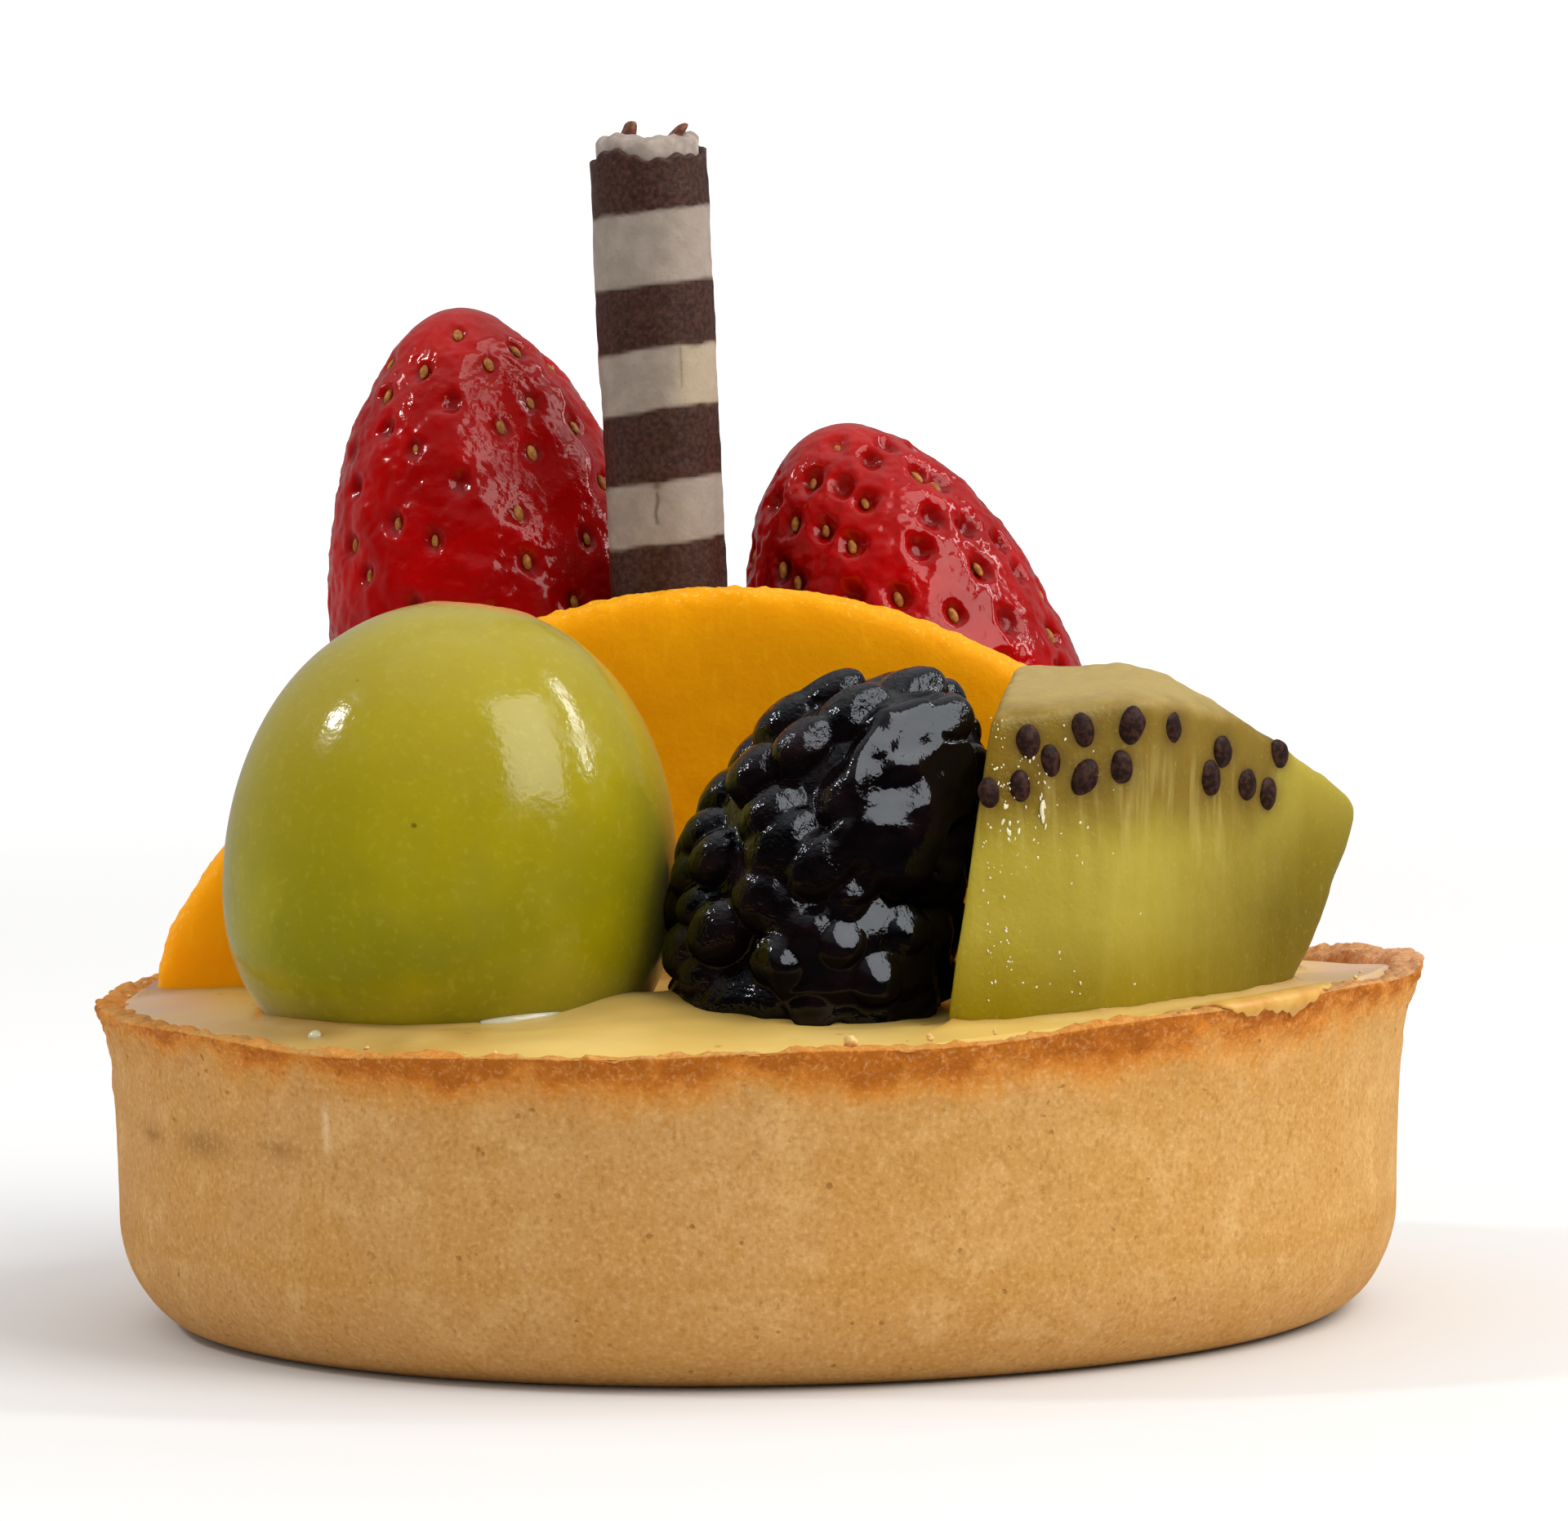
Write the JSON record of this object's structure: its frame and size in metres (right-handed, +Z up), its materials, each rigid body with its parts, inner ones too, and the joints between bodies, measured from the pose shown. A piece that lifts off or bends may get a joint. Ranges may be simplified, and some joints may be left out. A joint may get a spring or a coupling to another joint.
{
  "type": "fruit tart",
  "caption": "Round shortcrust tartlet filled with custard and topped with glazed fruit and a striped chocolate straw.",
  "frame": {"origin": "middle of the crust's flat base, on the surface it stands on", "axes": "+Z up; -Y is the front, where the grape, the bramble fruit and the kiwi wedge stand; +X is the kiwi side"},
  "size_m": [0.0796, 0.0796, 0.0712],
  "materials": {
    "crust": "dry baked shortcrust, browned at the lip",
    "custard": "smooth pale pastry cream",
    "grape": "glazed green skin",
    "bramble": "near black under a wet glaze",
    "kiwi": "moist cut flesh with dark seeds",
    "peach": "moist cut flesh",
    "strawberry": "glazed red skin with pits and pale seeds",
    "chocolate": "thin rolled chocolate in brown and off-white bands"
  },
  "bodies": {
    "root": {"crust": "crust", "custard": "custard", "grape": "grape", "bramble": "bramble", "kiwi_wedge": "kiwi", "peach_slice": "peach", "strawberry_left": "strawberry", "strawberry_right": "strawberry", "chocolate_straw": "chocolate"}
  },
  "joints": []
}
